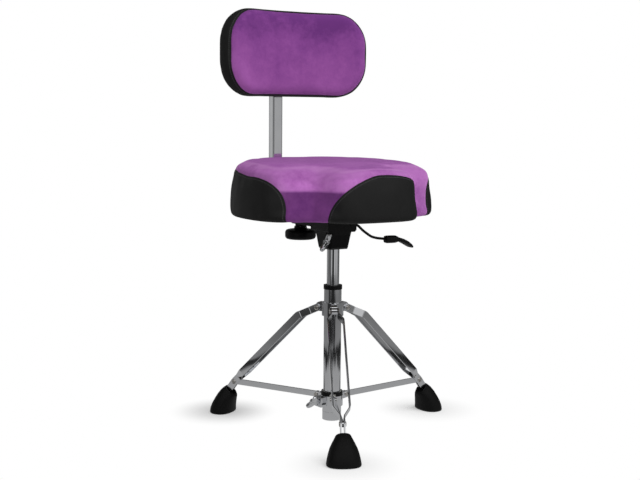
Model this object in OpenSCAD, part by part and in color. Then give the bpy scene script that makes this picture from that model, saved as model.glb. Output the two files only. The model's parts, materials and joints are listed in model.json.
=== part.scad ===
// Drum throne with a folding three-leg stand, a gas-lift column, a lobed
// seat and a sliding backrest. Millimetres. +Z is up, the origin is on the
// floor in the middle of the throne's outline, and the sitter faces -Y.

/* [Column] */
// Outside diameter of the column tube
column_d = 38; // [36:1:40]
// Wall of the column tube
column_wall = 2; // [1.5:0.5:2.5]
// Height of the column tube's lower end above the floor
column_z0 = 18; // [12:1:20]
// Height of the column tube's upper end
column_z1 = 306; // [300:1:330]
// Outside diameter of the gas spring cylinder
gas_d = 27; // [26:1:28]
// Height of the gas cylinder's top end
gas_top = 440; // [436:1:441]
// Height of the receiver's lower end above the floor
receiver_z0 = 394; // [388:1:398]

/* [Legs] */
// Direction of the first leg, from +X
leg_turn = -117; // [-180:1:180]
// Distance of the hub pivots from the column's axis
hub_pivot_r = 35; // [34:0.5:37]
// Height of the hub pivots
hub_pivot_z = 263; // [258:1:266]
// Distance of the brace rivets from the column's axis
brace_rivet_r = 244; // [240:1:248]
// Height of the brace rivets
brace_rivet_z = 74; // [72:1:76]
// Width of a leg strip
strip_w = 16; // [14:0.5:17]
// Thickness of a leg strip
strip_t = 3; // [2.5:0.5:3]
// Gap from the leg's middle plane to a strip's middle, along the straight
strip_gap = 17; // [14:0.5:18]
// Distance of the foot's centre from the column's axis
foot_r = 276; // [272:1:280]
// Width of a rubber foot across the leg
foot_w = 72; // [64:1:76]
// Depth of a rubber foot along the leg
foot_depth = 52; // [46:1:56]

/* [Folding collar] */
// Distance of the collar pivots from the column's axis
collar_pivot_r = 36; // [35:0.5:38]
// Height of the collar pivots
collar_pivot_z = 69; // [67:1:70]
// Height of a brace bar
brace_w = 13; // [11:0.5:14]
// Thickness of a brace bar
brace_t = 4; // [3:0.5:4]

/* [Seat] */
// Height of the seat pan's underside
seat_z0 = 467; // [467:1:469]
// Height of the seat's top at the front
seat_front_z = 569; // [560:1:576]
// Rise of the seat's top from front to rear
seat_rise = 15; // [5:1:25]
// Half of the seat's width
seat_half_w = 216; // [205:1:225]
// Reach of the seat forward of the column
seat_front = 194; // [184:1:204]
// Reach of the seat behind the column
seat_rear = 196; // [186:1:198]
// Depth of the two thigh recesses
thigh_depth = 45; // [30:1:50]

/* [Backrest] */
// Distance of the upright bar behind the column's axis
post_y = 258; // [256:1:268]
// Side of the square back bar
bar_w = 25; // [24:0.5:25]
// Height of the back bar's upper end
post_top = 850; // [842:1:880]
// Height of the backrest's lower edge
back_z0 = 716; // [700:1:725]
// Height of the backrest pad
back_h = 200; // [190:1:210]
// Half of the backrest's width, measured along its curve
back_half_w = 181; // [170:1:190]
// Thickness of the backrest pad
back_t = 50; // [44:1:52]
// Radius of the backrest's curve
back_curve = 560; // [500:10:700]

/* [Hidden] */
$fn = 64;

chrome = [0.80, 0.81, 0.83];
steel = [0.60, 0.61, 0.63];
black = [0.08, 0.08, 0.09];
rubber = [0.05, 0.05, 0.05];
velvet = [0.54, 0.26, 0.60];
foam = [0.90, 0.86, 0.66];
wood = [0.70, 0.55, 0.36];
nylon = [0.88, 0.88, 0.84];

fit = 0.05;      // radial clearance of a running fit
side_gap = 0.3;  // clearance between flat parts that slide past each other
column_at = [-43, -14, 0]; // column's axis, from the middle of the outline
end_swell = 0.05; // how far a bar's round end stands past its straight edges

column_r = column_d / 2;
bore_r = column_r - column_wall;
gas_r = gas_d / 2;
rod_r = 5;
rivet_r = 3;
head_r = 5.5;
head_h = 2;

// ---------------------------------------------------------------- helpers

// Everything is drawn round the column's axis and then put in its place.
module placed() {
  translate(column_at) children();
}

// Turns a child to leg number i, with +X outward along the leg.
module at_leg(i) {
  rotate([0, 0, leg_turn + 120 * (i - 1)]) children();
}

// Extrudes a flat shape drawn as (distance, height) from t0 to t1 sideways.
module upright(t0, t1) {
  translate([0, t1, 0]) rotate([90, 0, 0]) linear_extrude(t1 - t0) children();
}

// A flat bar with round ends from p to q. The ends swell a hair past its edges.
module bar2d(p, q, w) {
  d = q - p;
  translate(p) rotate(atan2(d[1], d[0])) {
    translate([0, -w / 2]) square([norm(d), w]);
    circle(w / 2 + end_swell);
  }
  translate(q) circle(w / 2 + end_swell);
}

// A cylinder along Y from y0 to y1, at distance x and height z.
module pin_y(x, z, r, y0, y1) {
  translate([x, y1, z]) rotate([90, 0, 0]) cylinder(h = y1 - y0, r = r);
}

// A tube standing on z0.
module ring(z0, z1, r_out, r_in) {
  difference() {
    translate([0, 0, z0]) cylinder(h = z1 - z0, r = r_out);
    translate([0, 0, z0 - 1]) cylinder(h = z1 - z0 + 2, r = r_in);
  }
}

// A wing bolt along +X. Its tip, boss and wing ends are distances along the
// bolt, and the wings lean over by the given angle from upright.
wing_t = 4;
wing_half = 21;
module wing_bolt(tip, boss, end, lean) rotate([-lean, 0, 0]) {
  rotate([0, 90, 0]) {
    translate([0, 0, tip]) cylinder(h = boss - tip, r = 4);
    translate([0, 0, boss]) cylinder(h = 13, r = 7);
  }
  for (side = [-1, 1]) {
    upright(-wing_t / 2, wing_t / 2) {
      bar2d([boss + 7, 0], [boss + 8, side * 7], 12);
      bar2d([boss + 8, side * 7], [end - 4.5, side * (wing_half - 4.5)], 9);
    }
  }
}

// ---------------------------------------------------------------- column

hub_z0 = hub_pivot_z - 15;
hub_z1 = hub_pivot_z + 14;
hub_r = column_r + 4.5;
ear_half = 5.85;
sleeve_z1 = 48;

module column_tube() color(chrome) ring(column_z0, column_z1, column_r, bore_r);

bush_depth = 36;
module top_bushing() color(black) {
  ring(column_z1, column_z1 + 9, column_r + 1.2, gas_r + fit);
  ring(column_z1 - bush_depth, column_z1, bore_r, gas_r + fit);
}

module leg_hub() color(chrome) difference() {
  union() {
    translate([0, 0, hub_z0]) cylinder(h = hub_z1 - hub_z0, r = hub_r);
    for (i = [1:3]) at_leg(i) upright(-ear_half, ear_half) {
      bar2d([column_r - 2, hub_pivot_z + 4], [hub_pivot_r - 6, hub_pivot_z + 4], strip_w + 2);
      bar2d([column_r - 2, hub_pivot_z], [hub_pivot_r, hub_pivot_z], strip_w - 1);
    }
  }
  translate([0, 0, hub_z0 - 5]) cylinder(h = hub_z1 - hub_z0 + 20, r = column_r);
  for (i = [1:3]) at_leg(i) pin_y(hub_pivot_r, hub_pivot_z, rivet_r, -20, 20);
}

module hub_pins() color(steel) for (i = [1:3]) at_leg(i)
  pin_y(hub_pivot_r, hub_pivot_z, rivet_r, -ear_half, ear_half);

module column_end_sleeve() color(chrome) difference() {
  ring(column_z0, sleeve_z1, column_r + 1.6, column_r);
  ring(sleeve_z1 - 12, sleeve_z1 - 10.5, column_r + 3, column_r + 1);
}

plate_z0 = column_z0 + 3;
plate_z1 = plate_z0 + 6;
module rod_base_plate() color(steel) ring(plate_z0, plate_z1, bore_r, rod_r + fit);

bearing_z1 = plate_z1 + 6;
module thrust_bearing() color(steel) ring(plate_z1, bearing_z1, 12, rod_r + 0.5);

head_z = 300;
module piston_rod() color(steel) {
  translate([0, 0, column_z0 + 1]) cylinder(h = head_z - column_z0 - 1, r = rod_r);
  ring(bearing_z1 + 0.1, bearing_z1 + 3, 11, rod_r);
}

module piston_head() color(steel) translate([0, 0, head_z]) cylinder(h = 12, r = gas_r - 2.1);

module rod_clip() color(steel) ring(column_z0 + 1.2, plate_z0 - 0.1, rod_r + 3, rod_r);

gas_z0 = 130;
gas_wall = 2;
gland_h = 12;
module gas_cylinder() color(chrome) difference() {
  translate([0, 0, gas_z0]) cylinder(h = gas_top - gas_z0, r = gas_r);
  translate([0, 0, gas_z0 - 1]) cylinder(h = gas_top - gas_z0 - 14, r = gas_r - gas_wall);
  translate([0, 0, gas_top - 16]) cylinder(h = 20, r = 3 + fit);
}

module cylinder_gland() color(black) ring(gas_z0, gas_z0 + gland_h, gas_r - gas_wall, rod_r + fit);

valve_top = gas_top + 6;
module valve_button() color(steel) {
  translate([0, 0, gas_top - 8]) cylinder(h = 8 + 4, r = 3);
  translate([0, 0, gas_top + 4]) cylinder(h = 2, r = 2.5);
}

// ------------------------------------------------------------- under seat

flange_t = 3;
box_half = 36;
box_z0 = 432;
box_wall = 3;
box_cut = 4;     // bevel along the box's lower edges
flange_z0 = seat_z0 - flange_t;
screw_r = 3;
plate_screw_x = 62;
plate_screw_y = 48;
lever_y = 6;
lever_z = 448;
lever_pivot_x = 24;

module plate_screw_spots() {
  for (x = [-plate_screw_x, plate_screw_x]) {
    for (y = [-plate_screw_y, plate_screw_y - 12]) translate([x, y, 0]) children();
  }
}

module mounting_plate() color(black) difference() {
  union() {
    translate([-78, -66, flange_z0]) cube([156, 128, flange_t]);
    upright(-box_half, box_half) polygon([
      [-box_half, flange_z0], [-box_half, box_z0 + box_cut], [-box_half + box_cut, box_z0],
      [box_half - box_cut, box_z0], [box_half, box_z0 + box_cut], [box_half, flange_z0]
    ]);
  }
  translate([-box_half + box_wall, -box_half + box_wall, box_z0 + box_wall])
    cube([2 * (box_half - box_wall), 2 * (box_half - box_wall), 60]);
  translate([0, 0, box_z0 - 1]) cylinder(h = 10, r = gas_r + fit);
  translate([box_half - 5, -4, lever_z - 8]) cube([10, 8, 16]);
  pin_y(lever_pivot_x, lever_z, 2.5, -60, 60);
  plate_screw_spots() translate([0, 0, flange_z0 - 1]) cylinder(h = 10, r = screw_r);
}

module lever_pivot_pin() color(black) {
  pin_y(lever_pivot_x, lever_z, 2.5, -box_half - 1, box_half + 1);
  pin_y(lever_pivot_x, lever_z, 4, box_half, box_half + 2);
  pin_y(lever_pivot_x, lever_z, 4, -box_half - 2, -box_half);
}

module screws_at(z_head) {
  translate([0, 0, z_head]) cylinder(h = 12, r = screw_r);
  difference() {
    translate([0, 0, z_head - 3]) cylinder(h = 3, r = head_r);
    translate([0, 0, z_head - 4]) cylinder(h = 2.5, r = 2.6, $fn = 6);
  }
}

module plate_screws() color(steel) plate_screw_spots() screws_at(flange_z0);

// Receiver: a tapered square socket with cut corners round the gas cylinder.
receiver_top = box_z0;
receiver_half = 29;
receiver_low = 25;
receiver_cut = 4;
wing_turn = -140;
receiver_bolt_z = receiver_z0 + 19;
module receiver_slope() upright(-60, 60) polygon([
  [-receiver_low + receiver_cut, receiver_z0], [receiver_low - receiver_cut, receiver_z0],
  [receiver_low + 0.4, receiver_z0 + receiver_cut],
  [receiver_half, receiver_top - 6], [receiver_half + 3, receiver_top - 6],
  [receiver_half + 3, receiver_top], [-receiver_half - 3, receiver_top],
  [-receiver_half - 3, receiver_top - 6], [-receiver_half, receiver_top - 6],
  [-receiver_low - 0.4, receiver_z0 + receiver_cut]
]);
module seat_receiver() color(black) difference() {
  intersection() {
    receiver_slope();
    rotate([0, 0, 90]) receiver_slope();
    translate([0, 0, receiver_z0]) cylinder(h = receiver_top - receiver_z0, r1 = 31, r2 = 39);
  }
  translate([0, 0, receiver_z0 - 1]) cylinder(h = 60, r = gas_r + fit);
  rotate([0, 0, wing_turn]) translate([0, 0, receiver_bolt_z]) rotate([0, 90, 0]) cylinder(h = 60, r = 4 + fit);
}

module receiver_wing_bolt() color(chrome) rotate([0, 0, wing_turn])
  translate([0, 0, receiver_bolt_z]) wing_bolt(gas_r + 0.4, 40, 58, 28);

// Lever: a bent round rod with a flat tongue over the valve button.
lever_r = 2.9;
lever_path = [[14, lever_z], [42, lever_z], [63, 441], [78, 428], [98, 415], [112, 411], [142, 407]];
module lever_rod() color(black) difference() {
  union() {
    for (k = [0:len(lever_path) - 2]) {
      a = lever_path[k];
      b = lever_path[k + 1];
      translate([a[0], 0, a[1]]) {
        rotate([0, 90 - atan2(b[1] - a[1], b[0] - a[0]), 0]) cylinder(h = norm(b - a), r = lever_r);
        sphere(lever_r);
      }
    }
    upright(-lever_y, lever_y) polygon([
      [-6, lever_z - 1.6], [30, lever_z - 1.6], [30, lever_z + 5],
      [18, lever_z + 5], [14, lever_z + 1.6], [-6, lever_z + 1.6]
    ]);
    pin_y(lever_pivot_x, lever_z, 5, -lever_y, lever_y);
  }
  pin_y(lever_pivot_x, lever_z, 2.5 + fit, -10, 10);
}

grip_x = 135;
module lever_grip() color(black) difference() {
  union() {
    translate([grip_x, -8, 398]) cube([32, 16, 17]);
    upright(-14, 14) polygon([
      [grip_x + 30, 411], [grip_x + 46, 407], [grip_x + 60, 400], [grip_x + 73, 389],
      [grip_x + 71, 386], [grip_x + 56, 391], [grip_x + 42, 398], [grip_x + 30, 401]
    ]);
  }
  translate([112, 0, 411]) rotate([0, 90 - atan2(-4, 30), 0]) cylinder(h = norm([30, 4]), r = lever_r);
}

// Guide: a square sleeve for the back bar, with ears screwed to the pan.
bar_half = bar_w / 2;
bar_z = 451.5;
guide_y0 = 66;
guide_y1 = 154;
guide_wall = 2.7;
guide_in = bar_half + side_gap;
knob_y = 140;
guide_z0 = bar_z - guide_in - guide_wall;
guide_ear_z = bar_z + guide_in;
module guide_screw_spots() {
  for (x = [-30, 30]) {
    for (y = [82, 138]) translate([x, y, 0]) children();
  }
}
module bar_guide() color(black) difference() {
  union() {
    translate([-guide_in - guide_wall, guide_y0, guide_z0])
      cube([2 * (guide_in + guide_wall), guide_y1 - guide_y0, seat_z0 - guide_z0]);
    translate([-36, guide_y0, guide_ear_z]) cube([72, guide_y1 - guide_y0, seat_z0 - guide_ear_z]);
    translate([0, knob_y, guide_z0 - 5]) cylinder(h = 6, r = 12);
  }
  translate([-guide_in, guide_y0 - 1, bar_z - guide_in]) cube([2 * guide_in, 100, 2 * guide_in]);
  translate([0, knob_y, guide_z0 - 10]) cylinder(h = 14, r = 5 + fit);
  guide_screw_spots() translate([0, 0, guide_ear_z - 1]) cylinder(h = 10, r = screw_r);
}

module guide_screws() color(steel) guide_screw_spots() screws_at(guide_ear_z);

knob_r = 35;
knob_z0 = 401;
knob_z1 = 423;
knob_edge = 6;
module depth_knob() color(black) translate([0, knob_y, 0]) difference() {
  union() {
    translate([0, 0, knob_z0]) cylinder(h = knob_z1 - knob_z0, r = knob_r - knob_edge);
    translate([0, 0, knob_z0 + knob_edge]) cylinder(h = knob_z1 - knob_z0 - 2 * knob_edge, r = knob_r);
    for (z = [knob_z0 + knob_edge, knob_z1 - knob_edge])
      translate([0, 0, z]) rotate_extrude() translate([knob_r - knob_edge, 0]) circle(knob_edge);
    translate([0, 0, knob_z1]) cylinder(h = guide_z0 - 5.3 - knob_z1, r = 14);
  }
  translate([0, 0, knob_z0 + 6]) cylinder(h = 60, r = 5);
}

module depth_knob_screw() color(steel) translate([0, knob_y, knob_z0 + 6])
  cylinder(h = bar_z - bar_half - 0.3 - knob_z0 - 6, r = 5);

// ------------------------------------------------------------------- seat

// Outline of the seat: distance from the column's axis at angle a from the
// front. A rounded box, drawn in by the two thigh recesses.
function thigh(a) = exp(-pow((abs(a) - 46) / 14, 2));
function seat_box(a) =
  let (d = abs(a) < 90 ? seat_front : seat_rear, n = 2.4)
  pow(pow(abs(sin(a)) / seat_half_w, n) + pow(abs(cos(a)) / d, n), -1 / n);
function seat_edge(a) = seat_box(a) - thigh_depth * thigh(a);

// Each ring of the seat: [inset from the edge, drop below the top, extra drop
// at the thigh recesses]. Rings with a height instead of a drop come first.
seat_low = [[16, 0], [7, 3], [2, 8], [0, 16]];
seat_high = [[0, 26, 20], [1, 18, 17], [4, 11, 13], [10, 5, 9], [20, 1.5, 5], [44, 0, 1], [90, 0, 0]];
seat_steps = 60;
function seat_top(p) = seat_front_z + seat_rise * (p[1] + seat_front) / (seat_front + seat_rear);
function seat_at(a, inset) = (seat_edge(a) - inset) * [sin(a), -cos(a)];
function seat_angle(k) = -180 + 360 * k / seat_steps;
function seat_points(shrink) = concat(
  [for (r = seat_low) for (k = [0:seat_steps - 1])
    let (p = seat_at(seat_angle(k), r[0] + shrink)) [p[0], p[1], seat_z0 + shrink + r[1]]],
  [for (r = seat_high) for (k = [0:seat_steps - 1])
    let (a = seat_angle(k), p = seat_at(a, r[0] + shrink))
    [p[0], p[1], seat_top(p) - shrink - r[1] - r[2] * thigh(a)]]
);

// Side faces between rings, and one flat cap at each end.
function loft_faces(rings, n) = concat(
  [[for (k = [0:n - 1]) k]],
  [for (j = [0:rings - 2]) for (k = [0:n - 1])
    let (m = (k + 1) % n) each [
      [j * n + k, (j + 1) * n + k, (j + 1) * n + m],
      [j * n + k, (j + 1) * n + m, j * n + m]
    ]]
);
function cap_fan(first, n, centre) = [for (k = [0:n - 1]) [first + k, centre, first + (k + 1) % n]];

module seat_form(shrink) {
  rings = len(seat_low) + len(seat_high);
  points = seat_points(shrink);
  middle = [0, 0, seat_top([0, 0]) - shrink];
  polyhedron(
    points = concat(points, [middle]),
    faces = concat(loft_faces(rings, seat_steps), cap_fan((rings - 1) * seat_steps, seat_steps, len(points))),
    convexity = 6
  );
}

pan_t = 12;
pan_inset = 24;
cover_t = 3;
module pan_shape(extra) linear_extrude(pan_t + extra)
  polygon([for (k = [0:seat_steps - 1]) seat_at(seat_angle(k), pan_inset - extra)]);

module seat_pan() color(wood) translate([0, 0, seat_z0]) difference() {
  pan_shape(0);
  plate_screw_spots() tee_hole();
  guide_screw_spots() tee_hole();
}
module tee_hole() {
  translate([0, 0, -1]) cylinder(h = 30, r = 4);
  translate([0, 0, pan_t - 1.5]) cylinder(h = 5, r = 8);
}
module tee_nut() {
  ring(seat_z0 + 1, seat_z0 + pan_t - 1.5, 4, screw_r);
  ring(seat_z0 + pan_t - 1.5, seat_z0 + pan_t, 8, screw_r);
}
module tee_nuts() color(steel) {
  plate_screw_spots() tee_nut();
  guide_screw_spots() tee_nut();
}
module seat_foam() color(foam) difference() {
  seat_form(cover_t);
  translate([0, 0, seat_z0 - 1]) pan_shape(1.3);
}
module seat_cover() color(velvet) difference() {
  seat_form(0);
  seat_form(cover_t - 0.02);
  translate([0, 0, seat_z0 - 1]) pan_shape(1.3);
}

// --------------------------------------------------------------- backrest

bend_r = 50;
wall = 1.8;
module bar_profile(side) square(side, center = true);
module bar_solid(side, more) {
  translate([0, guide_y0 - 10 - more, bar_z]) rotate([-90, 0, 0])
    linear_extrude(post_y - bend_r - guide_y0 + 10 + more) bar_profile(side);
  translate([0, post_y - bend_r, bar_z + bend_r]) rotate([90, 0, 90])
    rotate([0, 0, -90]) rotate_extrude(angle = 90) translate([bend_r, 0]) bar_profile(side);
  translate([0, post_y, bar_z + bend_r]) linear_extrude(post_top - bar_z - bend_r + more) bar_profile(side);
}
module back_bar() color(chrome) difference() {
  bar_solid(bar_w, 0);
  bar_solid(bar_w - 2 * wall, 1);
}
module bar_end_caps() color(black) {
  translate([0, post_y, post_top - 6]) linear_extrude(6) bar_profile(bar_w - 2 * wall);
  translate([0, post_y, post_top]) linear_extrude(2.5) bar_profile(bar_w);
  translate([0, guide_y0 - 10, bar_z]) rotate([-90, 0, 0]) linear_extrude(6) bar_profile(bar_w - 2 * wall);
  translate([0, guide_y0 - 12.5, bar_z]) rotate([-90, 0, 0]) linear_extrude(2.5) bar_profile(bar_w);
}

// Pad curve: the pad's middle surface is an arc about a vertical axis in
// front of the sitter. s runs along the arc and q towards the rear.
back_mid_y = 190;
back_mid_z = back_z0 + back_h / 2;
corner_r = 78;
function bend(s, q, z) =
  let (a = s / back_curve * 180 / PI)
  [(back_curve + q) * sin(a), back_mid_y - back_curve + (back_curve + q) * cos(a), z];
corner_steps = 7;
edge_steps = 8;
function corner(c, inset, k) =
  let (a = 90 * c + 90 * k / corner_steps, r = corner_r - inset,
       sx = c == 0 || c == 3 ? 1 : -1, sz = c < 2 ? 1 : -1)
  [sx * (back_half_w - corner_r) + r * cos(a), sz * (back_h / 2 - corner_r) + r * sin(a)];
function edge_count(c) = c % 2 == 0 ? edge_steps : 2;
function pad_outline(inset) = [
  for (c = [0:3]) each concat(
    [for (k = [0:corner_steps]) corner(c, inset, k)],
    [for (k = [1:edge_count(c) - 1]) let (f = k / edge_count(c))
      corner(c, inset, corner_steps) * (1 - f) + corner((c + 1) % 4, inset, 0) * f]
  )
];
// Each ring of the pad: [inset from the outline, place through the
// thickness, size of the ring as a share of the inset outline].
back_rings = [
  [34, 0, 0.35], [34, 0, 0.7], [34, 0, 1], [10, 0.01, 1], [3, 0.06, 1], [0, 0.17, 1],
  [0, 0.8, 1], [3, 0.92, 1], [10, 0.985, 1], [24, 1, 1], [34, 1, 0.7], [34, 1, 0.35]
];
function back_points(shrink) = [
  for (r = back_rings) for (p = pad_outline(r[0] + shrink))
    let (q = back_t * (0.5 - r[1]))
    bend(p[0] * r[2], q - shrink * sign(q), back_mid_z + p[1] * r[2])
];
module back_form(shrink) {
  n = len(pad_outline(0));
  rings = len(back_rings);
  points = back_points(shrink);
  middle = [bend(0, back_t / 2 - shrink, back_mid_z), bend(0, shrink - back_t / 2, back_mid_z)];
  polyhedron(
    points = concat(points, middle),
    faces = concat(
      cap_rear(n, len(points)),
      [for (f = loft_faces(rings, n)) if (len(f) == 3) f],
      cap_fan((rings - 1) * n, n, len(points) + 1)
    ),
    convexity = 6
  );
}
function cap_rear(n, centre) = [for (k = [0:n - 1]) [k, (k + 1) % n, centre]];

back_pan_t = 8;
module arc_slab(q0, q1) translate([0, back_mid_y - back_curve, 0])
  ring(back_z0 - 50, back_z0 + back_h + 50, back_curve + q1, back_curve + q0);
module back_pan_shape(extra) intersection() {
  arc_slab(back_t / 2 - back_pan_t - extra, back_t / 2 + extra, $fn = 180);
  upright(100, 300) translate([0, back_mid_z]) square([260 + 2 * extra, 130 + 2 * extra], center = true);
}
bracket_z0 = 770;
bracket_z1 = 850;
module bracket_spots() for (x = [-26, 26]) {
  for (z = [bracket_z0 + 12, bracket_z1 - 12]) translate([x, 0, z]) rotate([-90, 0, 0]) children();
}
back_face = back_mid_y + back_t / 2;
module backrest_pan() color(black) difference() {
  back_pan_shape(0);
  bracket_spots() translate([0, 0, 150]) cylinder(h = 90, r = 2.5);
}
module backrest_foam() color(foam) difference() {
  back_form(cover_t);
  back_pan_shape(0.3);
  bracket_spots() translate([0, 0, 190]) cylinder(h = 90, r = 3);
}
module backrest_cover() color(velvet) difference() {
  back_form(0);
  back_form(cover_t - 0.02);
  back_pan_shape(0.3);
}
sleeve_in = bar_half + side_gap;
sleeve_out = sleeve_in + 3;
height_knob_z = 810;
module backrest_bracket() color(black) difference() {
  union() {
    translate([-38, back_face + 0.3, bracket_z0]) cube([76, 3, bracket_z1 - bracket_z0]);
    translate([-15, back_face + 3, bracket_z0 + 8])
      cube([30, post_y - sleeve_out - back_face, bracket_z1 - bracket_z0 - 16]);
    translate([-sleeve_out, post_y - sleeve_out, bracket_z0])
      cube([2 * sleeve_out, 2 * sleeve_out, bracket_z1 - bracket_z0 - 12]);
    pin_y(0, height_knob_z, 10, post_y + sleeve_out - 1, post_y + sleeve_out + 6);
  }
  translate([-sleeve_in, post_y - sleeve_in, bracket_z0 - 1]) cube([2 * sleeve_in, 2 * sleeve_in, 100]);
  pin_y(0, height_knob_z, 4 + fit, post_y, post_y + 60);
  bracket_spots() translate([0, 0, 150]) cylinder(h = 80, r = 2.5);
}
module bracket_screws() color(steel) bracket_spots() {
  translate([0, 0, back_face - 9]) cylinder(h = 12.3, r = 2.5);
  translate([0, 0, back_face + 3.3]) cylinder(h = 2.5, r = 4.5);
}
height_knob_y0 = post_y + sleeve_out + 6.3;
module height_knob() color(black) difference() {
  union() {
    pin_y(0, height_knob_z, 9, height_knob_y0, height_knob_y0 + 8);
    pin_y(0, height_knob_z, 21, height_knob_y0 + 6, height_knob_y0 + 22);
  }
  for (k = [0:5]) translate([0, 0, height_knob_z]) rotate([0, 60 * k, 0])
    pin_y(25, 0, 8, height_knob_y0, height_knob_y0 + 40);
  pin_y(0, height_knob_z, 4, height_knob_y0 - 1, height_knob_y0 + 14);
}
module height_knob_screw() color(steel)
  pin_y(0, height_knob_z, 4, post_y + bar_half + 0.3, height_knob_y0 + 14);

// --------------------------------------------------------- folding collar

collar_z0 = sleeve_z1 + 1;
collar_z1 = 72;
collar_ring_z1 = 81;
collar_r = 24;
bush_t = 2;
lug_x0 = collar_r - 2; // the clamp's lug, with a square pocket in each side
lug_x1 = lug_x0 + 16;
lug_half = 12;
clevis_in = brace_t / 2 + side_gap;
clevis_out = clevis_in + 3;
bolt_turn = leg_turn + 300;
bolt_z = 62;
module fold_collar() color(chrome) difference() {
  union() {
    translate([0, 0, collar_z0]) cylinder(h = collar_z1 - collar_z0, r = collar_r);
    for (i = [1:3]) at_leg(i) for (side = [-1, 1]) scale([1, side, 1]) upright(clevis_in, clevis_out)
      bar2d([column_r + 1, collar_pivot_z - 3], [collar_pivot_r, collar_pivot_z - 0.5], 14);
    rotate([0, 0, bolt_turn]) translate([lug_x0, -lug_half, collar_z0 + 1])
      cube([lug_x1 - lug_x0, 2 * lug_half, collar_z1 - collar_z0 - 2]);
  }
  translate([0, 0, collar_z0 - 5]) cylinder(h = 60, r = column_r + bush_t);
  rotate([0, 0, bolt_turn]) {
    translate([0, 0, bolt_z]) rotate([0, 90, 0]) cylinder(h = 60, r = 4 + fit);
    translate([lug_x0, -1, collar_z0 - 1]) cube([20, 2, 40]);
    for (side = [-1, 1]) scale([1, side, 1]) translate([lug_x0 + 2, 5.5, bolt_z - 7]) cube([11, 10, 13]);
  }
  for (i = [1:3]) at_leg(i) pin_y(collar_pivot_r, collar_pivot_z, rivet_r, -20, 20);
}
module collar_ring() color(black) difference() {
  ring(collar_z1, collar_ring_z1, collar_r - 0.6, column_r + bush_t);
  for (i = [1:3]) at_leg(i) translate([0, -7, collar_z1 - 1]) cube([60, 14, 6]);
}
module collar_bush() color(nylon) difference() {
  ring(collar_z0, collar_ring_z1 - 1, column_r + bush_t, column_r + 0.06);
  rotate([0, 0, bolt_turn]) translate([0, 0, bolt_z]) rotate([0, 90, 0]) cylinder(h = 60, r = 5);
}
module collar_rivets() color(steel) for (i = [1:3]) at_leg(i) {
  pin_y(collar_pivot_r, collar_pivot_z, rivet_r, -clevis_out, clevis_out);
  pin_y(collar_pivot_r, collar_pivot_z, 4.5, clevis_out, clevis_out + head_h);
  pin_y(collar_pivot_r, collar_pivot_z, 4.5, -clevis_out - head_h, -clevis_out);
}
module collar_wing_bolt() color(chrome) rotate([0, 0, bolt_turn])
  translate([0, 0, bolt_z]) wing_bolt(column_r + 0.5, 41, 60, 50);

// ------------------------------------------------------------------- legs

module brace(i) color(chrome) at_leg(i) difference() {
  upright(-brace_t / 2, brace_t / 2)
    bar2d([collar_pivot_r, collar_pivot_z], [brace_rivet_r, brace_rivet_z], brace_w);
  pin_y(collar_pivot_r, collar_pivot_z, rivet_r + fit, -20, 20);
  pin_y(brace_rivet_r, brace_rivet_z, rivet_r + fit, -20, 20);
}

// Side view of a strip: out of the hub, down at 45 degrees, into the foot.
knee_r = 76;
knee_z = 244;
tip_r = 264;
tip_z = 46;
module strip_side() {
  bar2d([hub_pivot_r, hub_pivot_z], [knee_r, knee_z], strip_w);
  bar2d([knee_r, knee_z], [brace_rivet_r, brace_rivet_z], strip_w);
  bar2d([brace_rivet_r, brace_rivet_z], [tip_r, tip_z], strip_w);
}
// Top view of a strip: close to the ear, out to the full gap, in to the brace.
hub_t = ear_half + side_gap + strip_t / 2;
end_t = brace_t / 2 + side_gap + strip_t / 2;
jog = [[0, hub_t], [49, hub_t], [71, strip_gap], [217, strip_gap], [235, end_t], [300, end_t]];
module strip_top() polygon(concat(
  [for (p = jog) p - [0, strip_t / 2]],
  [for (k = [len(jog) - 1:-1:0]) jog[k] + [0, strip_t / 2]]
));
module strip(i, side) color(chrome) at_leg(i) scale([1, side, 1]) difference() {
  intersection() {
    upright(0, 30) strip_side();
    linear_extrude(400) strip_top();
  }
  pin_y(hub_pivot_r, hub_pivot_z, rivet_r, -30, 30);
  pin_y(brace_rivet_r, brace_rivet_z, rivet_r, -30, 30);
}

module leg_rivets(i) color(steel) at_leg(i) {
  for (side = [-1, 1]) scale([1, side, 1]) {
    pin_y(hub_pivot_r, hub_pivot_z, rivet_r, hub_t - strip_t / 2, hub_t + strip_t / 2);
    pin_y(hub_pivot_r, hub_pivot_z, head_r, hub_t + strip_t / 2, hub_t + strip_t / 2 + head_h);
    pin_y(brace_rivet_r, brace_rivet_z, head_r, end_t + strip_t / 2, end_t + strip_t / 2 + head_h);
  }
  pin_y(brace_rivet_r, brace_rivet_z, rivet_r, -end_t - strip_t / 2, end_t + strip_t / 2);
}

// Foot: a rubber boot that swells from a slanted socket to a broad sole.
foot_slant = 42;
module foot_slice(r, z, half_depth, half_width, tilt) translate([r, 0, z]) rotate([0, tilt, 0])
  linear_extrude(0.6) scale([half_depth, half_width]) circle(1, $fn = 40);
module foot(i) color(rubber) at_leg(i) difference() {
  hull() {
    foot_slice(foot_r, 0, foot_depth / 2 - 3, foot_w / 2 - 3, 0);
    foot_slice(foot_r, 3, foot_depth / 2, foot_w / 2 - 1, 0);
    foot_slice(foot_r - 1, 15, foot_depth / 2 - 0.5, foot_w / 2 - 3, 0);
    foot_slice(foot_r - 7, 30, foot_depth / 2 - 3, foot_w / 2 - 7.5, 0);
    foot_slice(foot_r - 11, 43, foot_depth / 2 - 5, foot_w / 2 - 13.5, 0);
    foot_slice(foot_r - 21, 51, 15, 15, -foot_slant);
  }
  upright(-end_t - strip_t / 2, end_t + strip_t / 2)
    bar2d([brace_rivet_r, brace_rivet_z], [tip_r, tip_z], strip_w);
}

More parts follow.
